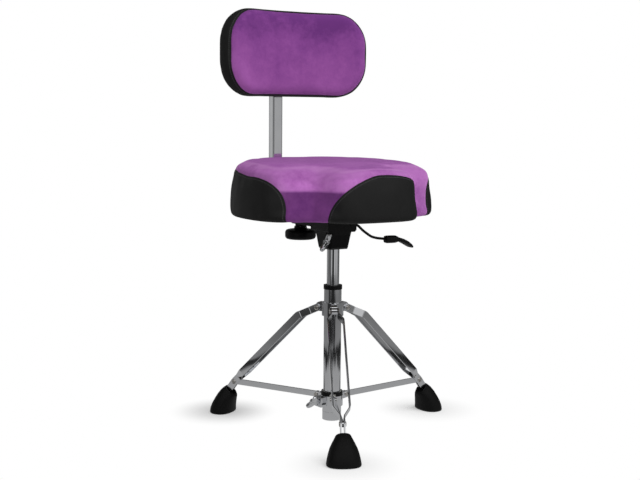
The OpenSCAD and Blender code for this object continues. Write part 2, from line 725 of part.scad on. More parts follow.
placed() column_tube();
placed() top_bushing();
placed() leg_hub();
placed() hub_pins();
placed() column_end_sleeve();
placed() rod_base_plate();
placed() thrust_bearing();
placed() piston_rod();
placed() piston_head();
placed() rod_clip();
placed() gas_cylinder();
placed() cylinder_gland();
placed() valve_button();
placed() seat_receiver();
placed() receiver_wing_bolt();
placed() mounting_plate();
placed() plate_screws();
placed() tee_nuts();
placed() seat_pan();
placed() seat_foam();
placed() seat_cover();
placed() lever_rod();
placed() lever_grip();
placed() lever_pivot_pin();
placed() bar_guide();
placed() guide_screws();
placed() depth_knob();
placed() depth_knob_screw();
placed() back_bar();
placed() bar_end_caps();
placed() backrest_bracket();
placed() bracket_screws();
placed() backrest_pan();
placed() backrest_foam();
placed() backrest_cover();
placed() height_knob();
placed() height_knob_screw();
placed() fold_collar();
placed() collar_ring();
placed() collar_bush();
placed() collar_rivets();
placed() collar_wing_bolt();
placed() brace(1);  // brace_1
placed() brace(2);  // brace_2
placed() brace(3);  // brace_3
placed() strip(1, 1);  // leg_1_left_strip
placed() strip(1, -1);  // leg_1_right_strip
placed() foot(1);  // leg_1_foot
placed() leg_rivets(1);  // leg_1_rivets
placed() strip(2, 1);  // leg_2_left_strip
placed() strip(2, -1);  // leg_2_right_strip
placed() foot(2);  // leg_2_foot
placed() leg_rivets(2);  // leg_2_rivets
placed() strip(3, 1);  // leg_3_left_strip
placed() strip(3, -1);  // leg_3_right_strip
placed() foot(3);  // leg_3_foot
placed() leg_rivets(3);  // leg_3_rivets
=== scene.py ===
# %% [markdown]
# A drum throne, dressed for its picture. The machine model gives the frame:
# every joint, tube and screw in its true place. This lesson builds the parts
# that an eye rests on, the velvet seat, the padded back, the folding legs and
# their rubber feet, and gives every surface a finish made from nodes.

import json
import math

import bmesh
import bpy
import numpy as np
from mathutils import Matrix, Vector


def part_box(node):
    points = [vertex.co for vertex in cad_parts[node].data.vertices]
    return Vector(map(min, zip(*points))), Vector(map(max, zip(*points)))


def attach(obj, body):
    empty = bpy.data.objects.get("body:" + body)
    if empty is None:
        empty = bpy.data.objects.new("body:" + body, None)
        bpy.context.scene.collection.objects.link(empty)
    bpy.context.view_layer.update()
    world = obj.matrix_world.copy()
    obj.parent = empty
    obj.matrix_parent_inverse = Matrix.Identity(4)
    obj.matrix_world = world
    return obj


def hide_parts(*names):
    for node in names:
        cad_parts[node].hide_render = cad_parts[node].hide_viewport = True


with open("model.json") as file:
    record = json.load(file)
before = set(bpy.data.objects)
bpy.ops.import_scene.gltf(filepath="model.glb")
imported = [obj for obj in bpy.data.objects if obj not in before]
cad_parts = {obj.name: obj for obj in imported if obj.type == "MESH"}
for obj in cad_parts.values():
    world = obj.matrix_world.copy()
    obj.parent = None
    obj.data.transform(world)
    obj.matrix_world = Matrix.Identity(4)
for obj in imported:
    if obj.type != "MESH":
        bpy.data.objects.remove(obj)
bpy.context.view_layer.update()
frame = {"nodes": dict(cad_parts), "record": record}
scene = bpy.context.scene

# %% [markdown]
# The camera stands at eye level of a seated person, in front and to the left
# of the throne, and looks slightly down. A fairly long lens keeps the column
# upright. It is placed first, so that every piece can be judged from it.

# %% Camera
camera_data = bpy.data.cameras.new("camera")
camera_data.lens = 62.5
camera_data.sensor_width = 36.0
camera = bpy.data.objects.new("camera", camera_data)
scene.collection.objects.link(camera)
low, high = (Vector(corner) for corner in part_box("column_tube"))
AXIS = Vector(((low.x + high.x) / 2, (low.y + high.y) / 2, 0.0))  # foot of the column's axis
camera.matrix_world = (
    Matrix.Translation(AXIS + Vector((-1.268, -2.018, 0.68)))
    @ Matrix.Rotation(math.radians(-31.45), 4, "Z")
    @ Matrix.Rotation(math.radians(90 - 6.415), 4, "X")
    @ Matrix.Rotation(math.radians(0.488), 4, "Z")
)
scene.camera = camera
scene.view_settings.view_transform = "Standard"
print("camera at", [round(x, 3) for x in camera.matrix_world.translation])

# %% [markdown]
# Shader maths reads best as plain Python. A small class wraps one socket, and
# its operators add Math nodes, so that 1 - mask or height * 0.5 works as
# written. One method adds any other node from its type, settings and inputs,
# and the nodes that come up often get short names on top of it.


# %% Shader helpers
class Signal:
    """One output socket of a shader; sums and products of it add Math nodes."""

    def __init__(self, shader, socket):
        self.shader = shader
        self.socket = socket

    def math(self, operation, *values):
        return self.shader.node("Math", {"operation": operation}, dict(enumerate(values)))

    def __add__(self, other):
        return self.math("ADD", self, other)

    def __sub__(self, other):
        return self.math("SUBTRACT", self, other)

    def __rsub__(self, other):
        return self.math("SUBTRACT", other, self)

    def __mul__(self, other):
        return self.math("MULTIPLY", self, other)

    def __truediv__(self, other):
        return self.math("DIVIDE", self, other)

    def __gt__(self, other):
        return self.math("GREATER_THAN", self, other)

    __radd__ = __add__
    __rmul__ = __mul__

    def bell(self, width):
        """1 where the signal is 0, falling off smoothly over the width."""
        return self.math("EXPONENT", self * self * (-1.0 / width**2))


class Shader:
    """The node tree of a material or a world."""

    def __init__(self, tree):
        self.tree = tree

    def node(self, kind, settings=None, values=None, out=0):
        made = self.tree.nodes.new("ShaderNode" + kind)
        for key, value in (settings or {}).items():
            if key == "stops":
                ramp = made.color_ramp
                for k, (place, colour) in enumerate(value):
                    stop = ramp.elements[k] if k < 2 else ramp.elements.new(place)
                    stop.position = place
                    stop.color = colour
            else:
                setattr(made, key, value)
        for key, value in (values or {}).items():
            socket = made.inputs[key]
            if isinstance(value, Signal):
                self.tree.links.new(value.socket, socket)
            else:
                socket.default_value = value
        return Signal(self, made.outputs[out])

    def mix(self, factor, a, b):
        colours = {"Factor": factor, 6: a, 7: b}
        return self.node("Mix", {"data_type": "RGBA"}, colours, out=2)

    def noise(self, coords, scale, detail=2.0, roughness=0.5):
        values = {"Vector": coords, "Scale": scale, "Detail": detail, "Roughness": roughness}
        return self.node("TexNoise", {}, values)

    def bump(self, height, distance):
        return self.node("Bump", {}, {"Height": height, "Distance": distance, "Strength": 1.0})

    def slope(self, value, low, high, start=0.0, end=1.0, ease="SMOOTHSTEP"):
        """Goes from start to end while the value goes from low to high."""
        values = {0: value, 1: low, 2: high, 3: start, 4: end}
        return self.node("MapRange", {"interpolation_type": ease}, values)

    def scaled(self, colour, factor):
        return self.node("VectorMath", {"operation": "SCALE"}, {0: colour, "Scale": factor})

    def axis(self, coords, letter):
        return self.node("SeparateXYZ", {}, {0: coords}, out=letter)

    def finish(self, surface):
        output = self.tree.nodes.new("ShaderNodeOutputMaterial")
        self.tree.links.new(surface.socket, output.inputs["Surface"])


def new_finish(name):
    material = bpy.data.materials.new(name)
    material.use_nodes = True
    material.node_tree.nodes.clear()
    shader = Shader(material.node_tree)
    coords = shader.node("TexCoord", out="Object")
    return material, shader, coords


def grey(value):
    return (value, value, value, 1.0)


print("shader helpers ready")

# %% [markdown]
# Chrome is nearly a mirror, so its look is the room's. The plating itself adds
# a faint haze and a very slight waviness from polishing, which makes the
# reflections in flat steel bars swim a little along their length.


# %% Chrome and bare steel
def metal(name, colour, rough, haze, wave):
    material, shader, coords = new_finish(name)
    smear = shader.noise(coords, 38.0, 4.0)
    slow = shader.noise(coords, 9.0, 1.0)
    dull = tuple(0.9 * c for c in colour[:3]) + (1.0,)
    surface = shader.node("BsdfPrincipled", {}, {
        "Base Color": shader.mix(smear, colour, dull),
        "Metallic": 1.0,
        "Roughness": rough + haze * smear,
        "Normal": shader.bump(slow, wave),
    })
    shader.finish(surface)
    return material


chrome = metal("chrome", (0.80, 0.81, 0.83, 1.0), 0.04, 0.07, 0.0016)
rivet_steel = metal("rivet_steel", (0.62, 0.60, 0.57, 1.0), 0.24, 0.16, 0.0004)
print("metals:", chrome.name, rivet_steel.name)

# %% [markdown]
# The black parts differ in how they break up a highlight. Moulded plastic has
# a fine spark-eroded grain, powder coat has a soft orange peel, the casting is
# glossier with shallow dents, and rubber is dull with a dusty bloom.


# %% Black plastic, powder coat, casting, rubber and board
def black(name, base, rough, grain_scale, grain_depth, shine):
    material, shader, coords = new_finish(name)
    grain = shader.noise(coords, grain_scale, 3.0, 0.6)
    cloud = shader.noise(coords, 22.0, 3.0)
    surface = shader.node("BsdfPrincipled", {}, {
        "Base Color": shader.mix(cloud, grey(base), grey(base * 1.6)),
        "Roughness": rough + 0.16 * (cloud - 0.5),
        "Normal": shader.bump(grain, grain_depth),
        "Specular IOR Level": shine,
    })
    shader.finish(surface)
    return material


black_plastic = black("black_plastic", 0.0025, 0.42, 1400.0, 0.00012, 0.22)
black_paint = black("black_paint", 0.0025, 0.38, 420.0, 0.00022, 0.18)
black_casting = black("black_casting", 0.002, 0.32, 150.0, 0.00035, 0.18)
rubber = black("rubber", 0.0026, 0.50, 700.0, 0.00016, 0.16)
back_board = black("back_board", 0.012, 0.55, 900.0, 0.0003, 0.4)
print("blacks: plastic, paint, casting, rubber and board")

# %% [markdown]
# Three finishes are hardly seen: the layers of the plywood pan, the cut foam
# and the nylon bush. They still get their own grain, because the throne is
# looked at from below too.


# %% Plywood, foam and nylon
def wood(name):
    material, shader, coords = new_finish(name)
    stretched = shader.node("Mapping", {}, {"Vector": coords, "Scale": (1.0, 9.0, 4.0)})
    grain = shader.noise(stretched, 14.0, 6.0, 0.65)
    surface = shader.node("BsdfPrincipled", {}, {
        "Base Color": shader.mix(grain, (0.045, 0.032, 0.022, 1.0), (0.110, 0.080, 0.052, 1.0)),
        "Roughness": 0.55 + 0.2 * grain,
        "Normal": shader.bump(grain, 0.0004),
    })
    shader.finish(surface)
    return material


def pale(name, dark, light, rough, scale, depth):
    material, shader, coords = new_finish(name)
    cells = shader.noise(coords, scale, 2.0)
    surface = shader.node("BsdfPrincipled", {}, {
        "Base Color": shader.mix(cells, dark, light),
        "Roughness": rough + 0.1 * cells,
        "Normal": shader.bump(cells, depth),
    })
    shader.finish(surface)
    return material


plywood = wood("plywood")
foam = pale("foam", (0.66, 0.58, 0.34, 1.0), (0.82, 0.76, 0.52, 1.0), 0.85, 700.0, 0.0012)
nylon = pale("nylon", (0.62, 0.62, 0.58, 1.0), (0.72, 0.72, 0.68, 1.0), 0.4, 120.0, 0.0002)
print("hidden finishes: plywood, foam, nylon")

# %% [markdown]
# The covers are sewn from two cloths in one material. The velvet's colour
# holds painted light and shade. It has a deep ramp and a paler one, which are
# shaded and lit copies of the same purple. The backrest takes the deep ramp,
# with painted shade that makes it darker towards its top and lighter towards
# its bottom, most of all along its -X edge. The seat takes the paler ramp,
# with painted shade where its top lies flat, towards its rear and low in the
# front recesses, most of all in one. It has painted light on the steep faces
# in front, and a painted highlight, a pale line where the top turns down. The
# random tone of the nap is the velvet's own. The vinyl has a leather grain and
# stitches beside the seam. An attribute called seam holds each point's
# distance to the sewn line, positive on the vinyl, along is the way down that
# line, and tilt says how far a point faces up.

# %% Velvet and vinyl
STITCH_LENGTH, STITCH_LINE = 0.0036, 0.0045  # metres along the seam, and beside it


def velvet_colour(shader, coords, nap):
    tilt = shader.node("Attribute", {"attribute_name": "tilt"}, out="Fac")
    across, back, height = (shader.axis(coords, letter) for letter in "XYZ")
    on_seat = shader.slope(height, 0.62, 0.66, 1.0, 0.0, "LINEAR")
    # Painted shade on the backrest: darker towards its top and lighter towards its bottom, most of all along
    # its -X edge.
    painted_shade_by_height = shader.slope(height, 0.72, 0.90, 0.26, -0.13, "LINEAR")
    painted_shade_at_edge = shader.slope(across, -0.24, -0.10, 0.24, 0.0) * shader.slope(height, 0.82, 0.90, 1.0, -0.3)
    # The deep ramp is the purple's painted-shade copy and the paler ramp below is its painted-light copy; the
    # nap gives both their random tone.
    deep = shader.node("ValToRGB", {"stops": [
        (0.34, (0.130, 0.030, 0.175, 1.0)),
        (0.50, (0.205, 0.052, 0.245, 1.0)),
        (0.68, (0.270, 0.075, 0.300, 1.0)),
        (0.90, (0.350, 0.105, 0.375, 1.0)),
    ]}, {0: nap + (1.0 - on_seat) * (painted_shade_by_height + painted_shade_at_edge)})
    light = shader.node("ValToRGB", {"stops": [
        (0.36, (0.280, 0.082, 0.305, 1.0)),
        (0.50, (0.375, 0.132, 0.400, 1.0)),
        (0.64, (0.430, 0.170, 0.450, 1.0)),
    ]}, {0: nap})
    # Masks for painted shade low in the front recesses, most of all on the -X side, and for painted light on
    # the steep faces in front.
    front = shader.slope(back, -0.115, -0.080, 1.0, 0.0) * shader.slope(across, 0.01, 0.06, 1.0, 0.25)
    recess = shader.slope(height, 0.524, 0.532, 1.0, 0.0) * front
    flank = shader.slope(tilt, 0.25, 0.70, 1.0, 0.0) * front
    # Painted light by tilt: where the seat's top lies flat it is mixed back towards the shaded ramp.
    level = shader.slope(tilt, 0.80, 1.0, 1.0, 0.42)
    # Painted light on the steep front faces and painted shade towards the seat's rear; the recesses get a
    # darker, painted-shade copy of the deep ramp.
    light = shader.scaled(light, 1.0 + 0.30 * flank - 0.16 * shader.slope(back, -0.07, 0.03))
    deep = shader.scaled(deep, 1.0 - 0.24 * recess)
    nap_with_painted_light = shader.mix(on_seat * level * (1.0 - recess), deep, light)
    # Painted highlight: a pale line where the seat's top turns down.
    painted_crest_highlight = on_seat * (tilt - 0.925).bell(0.035)
    return shader.mix(painted_crest_highlight * 0.45, nap_with_painted_light, (0.47, 0.215, 0.48, 1.0))


def velvet(shader, coords, seam_groove):
    brushed = shader.noise(coords, 12.0, 5.0, 0.66)
    patches = shader.noise(coords, 70.0, 4.0, 0.75)
    pile = shader.noise(coords, 1900.0, 2.0)
    nap = 0.60 * brushed + 0.30 * patches + 0.10 * pile
    return shader.node("BsdfPrincipled", {}, {
        "Base Color": velvet_colour(shader, coords, nap),
        "Roughness": 0.72 + 0.12 * patches,
        "Normal": shader.bump(0.35 * pile + (1.0 - seam_groove), 0.0007),
        "Sheen Weight": 0.35,
        "Sheen Roughness": 0.4,
        "Sheen Tint": (0.80, 0.36, 0.84, 1.0),
        "Specular IOR Level": 0.1,
    })


def vinyl(shader, coords, seam, seam_groove):
    along = shader.node("Attribute", {"attribute_name": "along"}, out="Fac")
    grain = shader.node("TexVoronoi", {"feature": "SMOOTH_F1"}, {"Vector": coords, "Scale": 620.0})
    dash = shader.node("Math", {"operation": "SINE"}, {0: along * (2 * math.pi / STITCH_LENGTH)})
    off_line = seam - STITCH_LINE
    thread = off_line.bell(0.0006) * (dash > -0.35)
    height = grain * 0.25 + (1.0 - seam_groove) - 0.8 * off_line.bell(0.0009) + 1.1 * thread
    return shader.node("BsdfPrincipled", {}, {
        "Base Color": shader.mix(thread, grey(0.0085), grey(0.060)),
        "Roughness": 0.50 + 0.14 * grain,
        "Normal": shader.bump(height, 0.0005),
        "Specular IOR Level": 0.32,
    })


cover_cloth, shader, coords = new_finish("velvet_and_vinyl")
seam_distance = shader.node("Attribute", {"attribute_name": "seam"}, out="Fac")
seam_groove = seam_distance.bell(0.0011)
shader.finish(shader.node("MixShader", {}, {
    "Fac": seam_distance > 0.0,
    1: velvet(shader, coords, seam_groove),
    2: vinyl(shader, coords, seam_distance, seam_groove),
}))
BY_SLOT = {
    "chrome": chrome, "rivet_steel": rivet_steel, "black_plastic": black_plastic, "black_paint": black_paint,
    "black_casting": black_casting, "velvet": cover_cloth, "foam": foam, "plywood": plywood,
    "back_board": back_board, "nylon": nylon, "rubber": rubber,
}
print("upholstery:", len(cover_cloth.node_tree.nodes), "nodes;", len(BY_SLOT), "finishes in all")

# %% [markdown]
# Most pieces are one closed loop of points carried along a path. The loop
# starts as a circle, each step extrudes its edges and sets them down on the
# next section, and both ends are capped. Lengths are in millimetres here, the
# maker's unit, and a piece is turned to metres when it is put on its body.


# %% Mesh helpers
def extrude_loop(bm, loop, points):
    """Extrudes a closed loop of vertices and sets the new ones on points."""
    edges = [bm.edges.get((loop[k - 1], loop[k])) for k in range(len(loop))]
    made = bmesh.ops.extrude_edge_only(bm, edges=edges)["geom"]
    fresh = {tuple(v.co): v for v in made if isinstance(v, bmesh.types.BMVert)}
    after = [fresh[tuple(v.co)] for v in loop]
    for vertex, point in zip(after, points):
        vertex.co = point
    return after


def loft(loops):
    """A closed skin through loops of points, capped at both ends."""
    bm = bmesh.new()
    made = bmesh.ops.create_circle(bm, cap_ends=False, segments=len(loops[0]), radius=1.0)
    first = made["verts"]
    for vertex, point in zip(first, loops[0]):
        vertex.co = point
    loop = first
    for points in loops[1:]:
        loop = extrude_loop(bm, loop, points)
    bmesh.ops.contextual_create(bm, geom=first)
    bmesh.ops.contextual_create(bm, geom=loop)
    bmesh.ops.recalc_face_normals(bm, faces=bm.faces)
    return bm


def turned(profile, steps):
    """A profile of (radius, height) spun round Z; it starts and ends at radius 0."""
    bm = bmesh.new()
    chain = [bm.verts.new((r, 0.0, z)) for r, z in profile]
    edges = [bm.edges.new(pair) for pair in zip(chain, chain[1:])]
    bmesh.ops.spin(bm, geom=chain + edges, cent=(0, 0, 0), axis=(0, 0, 1),
                   angle=2 * math.pi, steps=steps, use_merge=True)
    bmesh.ops.remove_doubles(bm, verts=bm.verts, dist=0.001)
    bmesh.ops.recalc_face_normals(bm, faces=bm.faces)
    return bm


def add_to(target, part, place):
    """Moves a part to its place and adds it to another bmesh."""
    bmesh.ops.transform(part, matrix=place, verts=part.verts)
    mesh = bpy.data.meshes.new("part")
    part.to_mesh(mesh)
    part.free()
    target.from_mesh(mesh)
    bpy.data.meshes.remove(mesh)


def soften(bm, width, angle):
    """Rounds every edge that is sharper than the angle."""
    sharp = [e for e in bm.edges
             if len(e.link_faces) == 2 and e.calc_face_angle() > math.radians(angle)]
    bmesh.ops.bevel(bm, geom=sharp, offset=width, offset_type="OFFSET", segments=2,
                    profile=0.5, affect="EDGES", clamp_overlap=True, material=-1)
    return bm


def put(name, bm, body, slot, *nodes, smooth=40.0):
    """Turns a bmesh in millimetres round the column into a piece on its body.

    Large faces lead the shading, so a flat face stays flat up to its bevel."""
    bmesh.ops.scale(bm, vec=(0.001, 0.001, 0.001), verts=bm.verts)
    bmesh.ops.translate(bm, vec=AXIS, verts=bm.verts)
    mesh = bpy.data.meshes.new(name)
    bm.to_mesh(mesh)
    bm.free()
    mesh.shade_smooth()
    mesh.set_sharp_from_angle(angle=math.radians(smooth))
    mesh.materials.append(BY_SLOT[slot])
    piece = bpy.data.objects.new(name, mesh)
    scene.collection.objects.link(piece)
    flatter = piece.modifiers.new("flatter", "WEIGHTED_NORMAL")
    flatter.keep_sharp = True
    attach(piece, body)
    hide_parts(*nodes)
    print(f"{name}: {len(mesh.polygons)} faces on {body}")


# %% [markdown]
# A leg is two flat steel strips that are pressed to shape: close together at
# the hub, splayed along the straight and pinched together again over the
# brace and into the foot. Each strip is a rectangle carried along its bent
# path, with a half-round end at the hub, and its edges are broken by a bevel,
# because a sheared and plated strip never has a knife edge.

# %% Leg strips
LEG_TURN = -117.0  # bearing of leg 1, in degrees from +X
HUB_PIVOT, KNEE = Vector((35.0, 263.0)), Vector((76.0, 244.0))  # distance from the column, height
BRACE_RIVET, TIP = Vector((244.0, 74.0)), Vector((264.0, 46.0))
STRIP_W, STRIP_T = 16.0, 3.0
BRACE_W, BRACE_T = 13.0, 4.0


def leg_angle(i):
    return math.radians(LEG_TURN + 120.0 * (i - 1))


def on_leg(i, r, z, side=0.0):
    """A point on leg i: distance from the column, height and place across the leg."""
    a = leg_angle(i)
    return Vector((r * math.cos(a) - side * math.sin(a), r * math.sin(a) + side * math.cos(a), z))


def between(p, q, distances):
    """Points on the line from p to q that lie at these distances from the column."""
    return [p.lerp(q, (d - p.x) / (q.x - p.x)) for d in distances]


def flat_path(points, width, bends):
    """Centre, direction and half width of a round-ended flat bar along its path."""
    half = width / 2
    steps = []
    for k, p in enumerate(points):
        ahead = (points[k + 1] - p).normalized() if k + 1 < len(points) else None
        behind = (p - points[k - 1]).normalized() if k else None
        if ahead is None or behind is None or (ahead - behind).length < 1e-4:
            steps.append((p, ahead or behind, half))
            continue
        for t in (0.0, 0.25, 0.5, 0.75, 1.0):
            place = (p - behind * bends).lerp(p, t).lerp(p.lerp(p + ahead * bends, t), t)
            steps.append((place, behind.lerp(ahead, t).normalized(), half))
    (start, way_in, _), (end, way_out, _) = steps[0], steps[-1]
    turns = [math.radians(a) for a in (82, 64, 46, 28, 12)]
    before = [(start - way_in * half * math.sin(a), way_in, half * math.cos(a)) for a in turns]
    after = [(end + way_out * half * math.sin(a), way_out, half * math.cos(a)) for a in reversed(turns)]
    return before + steps + after


def flat_bar(i, steps, offset, thick):
    """Lofts a flat bar on leg i; offset gives its place across the leg."""
    loops = []
    for centre, way, half in steps:
        up = Vector((-way.y, way.x)) * half
        side = offset(centre.x)
        high, low = centre + up, centre - up
        loops.append([
            on_leg(i, high.x, high.y, side + thick / 2), on_leg(i, high.x, high.y, side - thick / 2),
            on_leg(i, low.x, low.y, side - thick / 2), on_leg(i, low.x, low.y, side + thick / 2),
        ])
    return soften(loft(loops), 0.7, 50.0)


# The strips bend sideways at these distances from the column, to these places.
JOGS = [49.0, 51.5, 68.5, 71.0, 217.0, 219.5, 232.5, 235.0]
ACROSS = [7.65, 8.0, 16.65, 17.0, 17.0, 16.3, 4.5, 3.8]
strip_points = ([HUB_PIVOT] + between(HUB_PIVOT, KNEE, JOGS[:4]) + [KNEE]
                + between(KNEE, BRACE_RIVET, [120.0, 165.0] + JOGS[4:]) + [BRACE_RIVET, TIP])
strip_steps = flat_path(strip_points, STRIP_W, 3.5)
for i in (1, 2, 3):
    for side, word in ((1, "left"), (-1, "right")):
        bar = flat_bar(i, strip_steps, lambda r: side * float(np.interp(r, JOGS, ACROSS)), STRIP_T)
        put(f"leg_{i}_{word}_bar", bar, f"leg_{i}", "chrome", f"leg_{i}_{word}_strip")

# %% [markdown]
# The braces are plain flat bars with round ends that join the sliding collar
# to the legs. They take the same path helper with only two points.

# %% Braces
COLLAR_PIVOT = Vector((36.0, 69.0))
brace_steps = flat_path([COLLAR_PIVOT, BRACE_RIVET], BRACE_W, 1.0)
for i in (1, 2, 3):
    bar = flat_bar(i, brace_steps, lambda r: 0.0, BRACE_T)
    put(f"brace_{i}_bar", bar, f"brace_{i}_body", "chrome", f"brace_{i}")

# %% [markdown]
# The legs are held by tubular rivets, whose ends are rolled over into a ring
# with a dark hollow in the middle. Each one is a small profile spun round its
# axis, and the spun part is laid across the leg.


# %% Rivets
def rivet_head(radius):
    return turned([
        (0.0, -2.0), (2.8, -2.0), (2.8, 0.0), (radius, 0.0), (radius, 0.7), (radius * 0.93, 1.3),
        (radius * 0.72, 1.9), (radius * 0.55, 1.6), (radius * 0.46, 0.4), (0.0, 0.3),
    ], 32)


def across_leg(i, r, z, side):
    """A place whose Z axis points out of the leg's side."""
    outward = Matrix.Rotation(math.radians(-90.0 * math.copysign(1, side)), 4, "X")
    return Matrix.Translation(on_leg(i, r, z, side)) @ Matrix.Rotation(leg_angle(i), 4, "Z") @ outward


HUB_HALF, FOOT_HALF = ACROSS[0] + STRIP_T / 2, ACROSS[-1] + STRIP_T / 2  # half width over the strips
for i in (1, 2, 3):
    rivets = bmesh.new()
    for side in (-1, 1):
        add_to(rivets, rivet_head(5.5), across_leg(i, *HUB_PIVOT, side * HUB_HALF))
        add_to(rivets, rivet_head(5.5), across_leg(i, *BRACE_RIVET, side * FOOT_HALF))
    put(f"leg_{i}_rivet_heads", rivets, f"leg_{i}", "rivet_steel", f"leg_{i}_rivets")

# %% [markdown]
# A foot is a rubber boot: a broad flat sole, sides that swell and lean in
# towards the leg, and a slanted socket with a raised lip where the two strips
# go in. It is lofted straight through the rings listed below.

# %% Rubber feet
# Each ring: distance from the column, height, half depth, half width, slant.
FOOT_R, FOOT_SQUARENESS = 276.0, 2.35
FOOT_RINGS = [
    (FOOT_R, 0.0, 20.0, 30.0, 0.0), (FOOT_R, 0.0, 23.4, 33.2, 0.0), (FOOT_R, 1.2, 25.2, 34.6, 0.0),
    (FOOT_R, 3.5, 26.0, 35.0, 0.0), (275.2, 12.0, 25.7, 33.6, 0.0), (272.5, 22.0, 24.6, 31.2, 0.0),
    (268.6, 32.0, 22.9, 27.8, -2.0), (263.6, 41.5, 20.6, 22.9, -12.0), (259.2, 47.4, 18.2, 19.0, -26.0),
    (256.2, 50.6, 16.2, 16.6, -38.0), (255.1, 51.9, 15.4, 15.6, -42.0), (254.6, 52.5, 14.6, 14.8, -42.0),
    (254.4, 52.8, 13.4, 13.0, -42.0), (254.7, 52.4, 11.8, 10.6, -42.0), (257.4, 49.0, 10.6, 8.8, -42.0),
]


def oval(half_x, half_y, count, power):
    """Points on an oval; a power under 1 makes it squarer than an ellipse."""
    turns = [2 * math.pi * k / count for k in range(count)]
    return [(half_x * math.copysign(abs(math.cos(a)) ** power, math.cos(a)),
             half_y * math.copysign(abs(math.sin(a)) ** power, math.sin(a))) for a in turns]


def foot_ring(i, ring):
    r, z, deep, wide, slant = ring
    tilt = math.radians(slant)
    return [on_leg(i, r + x * math.cos(tilt), z - x * math.sin(tilt), y)
            for x, y in oval(deep, wide, 56, 2 / FOOT_SQUARENESS)]


for i in (1, 2, 3):
    boot = loft([foot_ring(i, ring) for ring in FOOT_RINGS])
    put(f"foot_{i}_boot", boot, f"leg_{i}", "rubber", f"leg_{i}_foot", smooth=50.0)

# %% [markdown]
# Castings, tubes and pressed brackets already have their true shape in the
# frame, but with knife edges. A copy of each is welded, its flat faces are
# joined and its edges rounded, so that they catch a thin line of light.


# %% Softened copies of the metalwork
def softened(name, node, body, slot, width):
    bm = bmesh.new()
    bm.from_mesh(frame["nodes"][node].data)
    bmesh.ops.translate(bm, vec=-AXIS, verts=bm.verts)
    bmesh.ops.scale(bm, vec=(1000, 1000, 1000), verts=bm.verts)
    bmesh.ops.remove_doubles(bm, verts=bm.verts, dist=0.004)
    bmesh.ops.dissolve_limit(bm, angle_limit=math.radians(0.6), verts=bm.verts, edges=bm.edges)
    soften(bm, width, 32.0)
    put(name, bm, body, slot, node, smooth=30.0)


METALWORK = [
    ("hub_casting", "leg_hub", "column", "chrome", 0.9),
    ("collar_casting", "fold_collar", "collar", "chrome", 0.8),
    ("receiver_casting", "seat_receiver", "seat", "black_casting", 1.2),
    ("seat_plate", "mounting_plate", "seat", "black_paint", 0.8),
    ("guide_casting", "bar_guide", "seat", "black_paint", 0.8),
    ("bracket_pressing", "backrest_bracket", "backrest", "black_paint", 0.8),
    ("back_knob", "height_knob", "height_clamp", "black_plastic", 1.0),
]
for row in METALWORK:
    softened(*row)

# %% [markdown]
# A wing bolt is cast in one piece with its two ears. The boss and the stem
# are turned, and each ear is a flat oval carried outward along a curve, broad
# at the root and narrower at its rounded tip. The whole bolt is drawn along X
# and then turned to its place, with the ears leaning as the hand left them.


# %% Wing bolts
def oval_loft(stations, count=28, power=1.0):
    """Stations along X and Z: place, half height across the path, half width."""
    loops = []
    for k, (x, z, high, wide) in enumerate(stations):
        before, after = stations[max(k - 1, 0)], stations[min(k + 1, len(stations) - 1)]
        way = Vector((after[0] - before[0], after[1] - before[1])).normalized()
        loops.append([Vector((x - way.y * v, w, z + way.x * v)) for v, w in oval(high, wide, count, power)])
    return loft(loops)


def wing_bolt(tip, boss, lean, direction, height):
    """Its tip and boss are distances from the column; it points out at the direction."""
    bolt = bmesh.new()
    lay = Matrix.Rotation(math.radians(90), 4, "Y")
    add_to(bolt, turned([
        (0.0, tip), (3.9, tip), (4.0, tip + 0.4), (4.0, boss), (6.4, boss), (7.4, boss + 0.8),
        (7.6, boss + 5.0), (7.0, boss + 11.5), (6.0, boss + 13.4), (3.4, boss + 13.8),
        (2.8, boss + 12.2), (0.0, boss + 12.0),
    ], 32), lay)
    for side in (-1, 1):
        ear = [(boss + 6.0, 0.0, 7.4, 4.5), (boss + 6.4, 4.0, 7.2, 5.0), (boss + 7.4, 9.0, 6.6, 5.6),
               (boss + 9.2, 13.0, 5.8, 5.8), (boss + 11.4, 16.4, 5.2, 5.4), (boss + 13.4, 18.8, 4.6, 4.6),
               (boss + 14.8, 20.2, 3.4, 3.2), (boss + 15.4, 20.8, 1.6, 1.6)]
        add_to(bolt, oval_loft([(x, side * z, high, wide) for x, z, high, wide in ear], 28, 0.75), Matrix())
    place = (Matrix.Translation((0.0, 0.0, height)) @ Matrix.Rotation(math.radians(direction), 4, "Z")
             @ Matrix.Rotation(math.radians(-lean), 4, "X"))
    bmesh.ops.transform(bolt, matrix=place, verts=bolt.verts)
    return bolt


collar_wing = wing_bolt(tip=19.6, boss=41.0, lean=50.0, direction=LEG_TURN + 300.0, height=62.0)
put("collar_wing", collar_wing, "collar_bolt", "chrome", "collar_wing_bolt", smooth=50.0)
receiver_wing = wing_bolt(tip=14.0, boss=40.0, lean=28.0, direction=-140.0, height=413.0)
put("receiver_wing", receiver_wing, "receiver_bolt", "chrome", "receiver_wing_bolt", smooth=50.0)

# %% [markdown]
# The back bar is one square tube bent through a quarter circle. Its corners
# are rounded as drawn tube always is, so the section is a square with small
# corner arcs, carried along the floor run, round the bend and up the post.

# %% Back bar
BAR_Y, BAR_Z, BAR_HALF = 56.0, 451.5, 12.5  # where the bar starts, its height, half its width
POST_Y, POST_TOP, BEND, BAR_CORNER = 258.0, 850.0, 50.0, 4.0


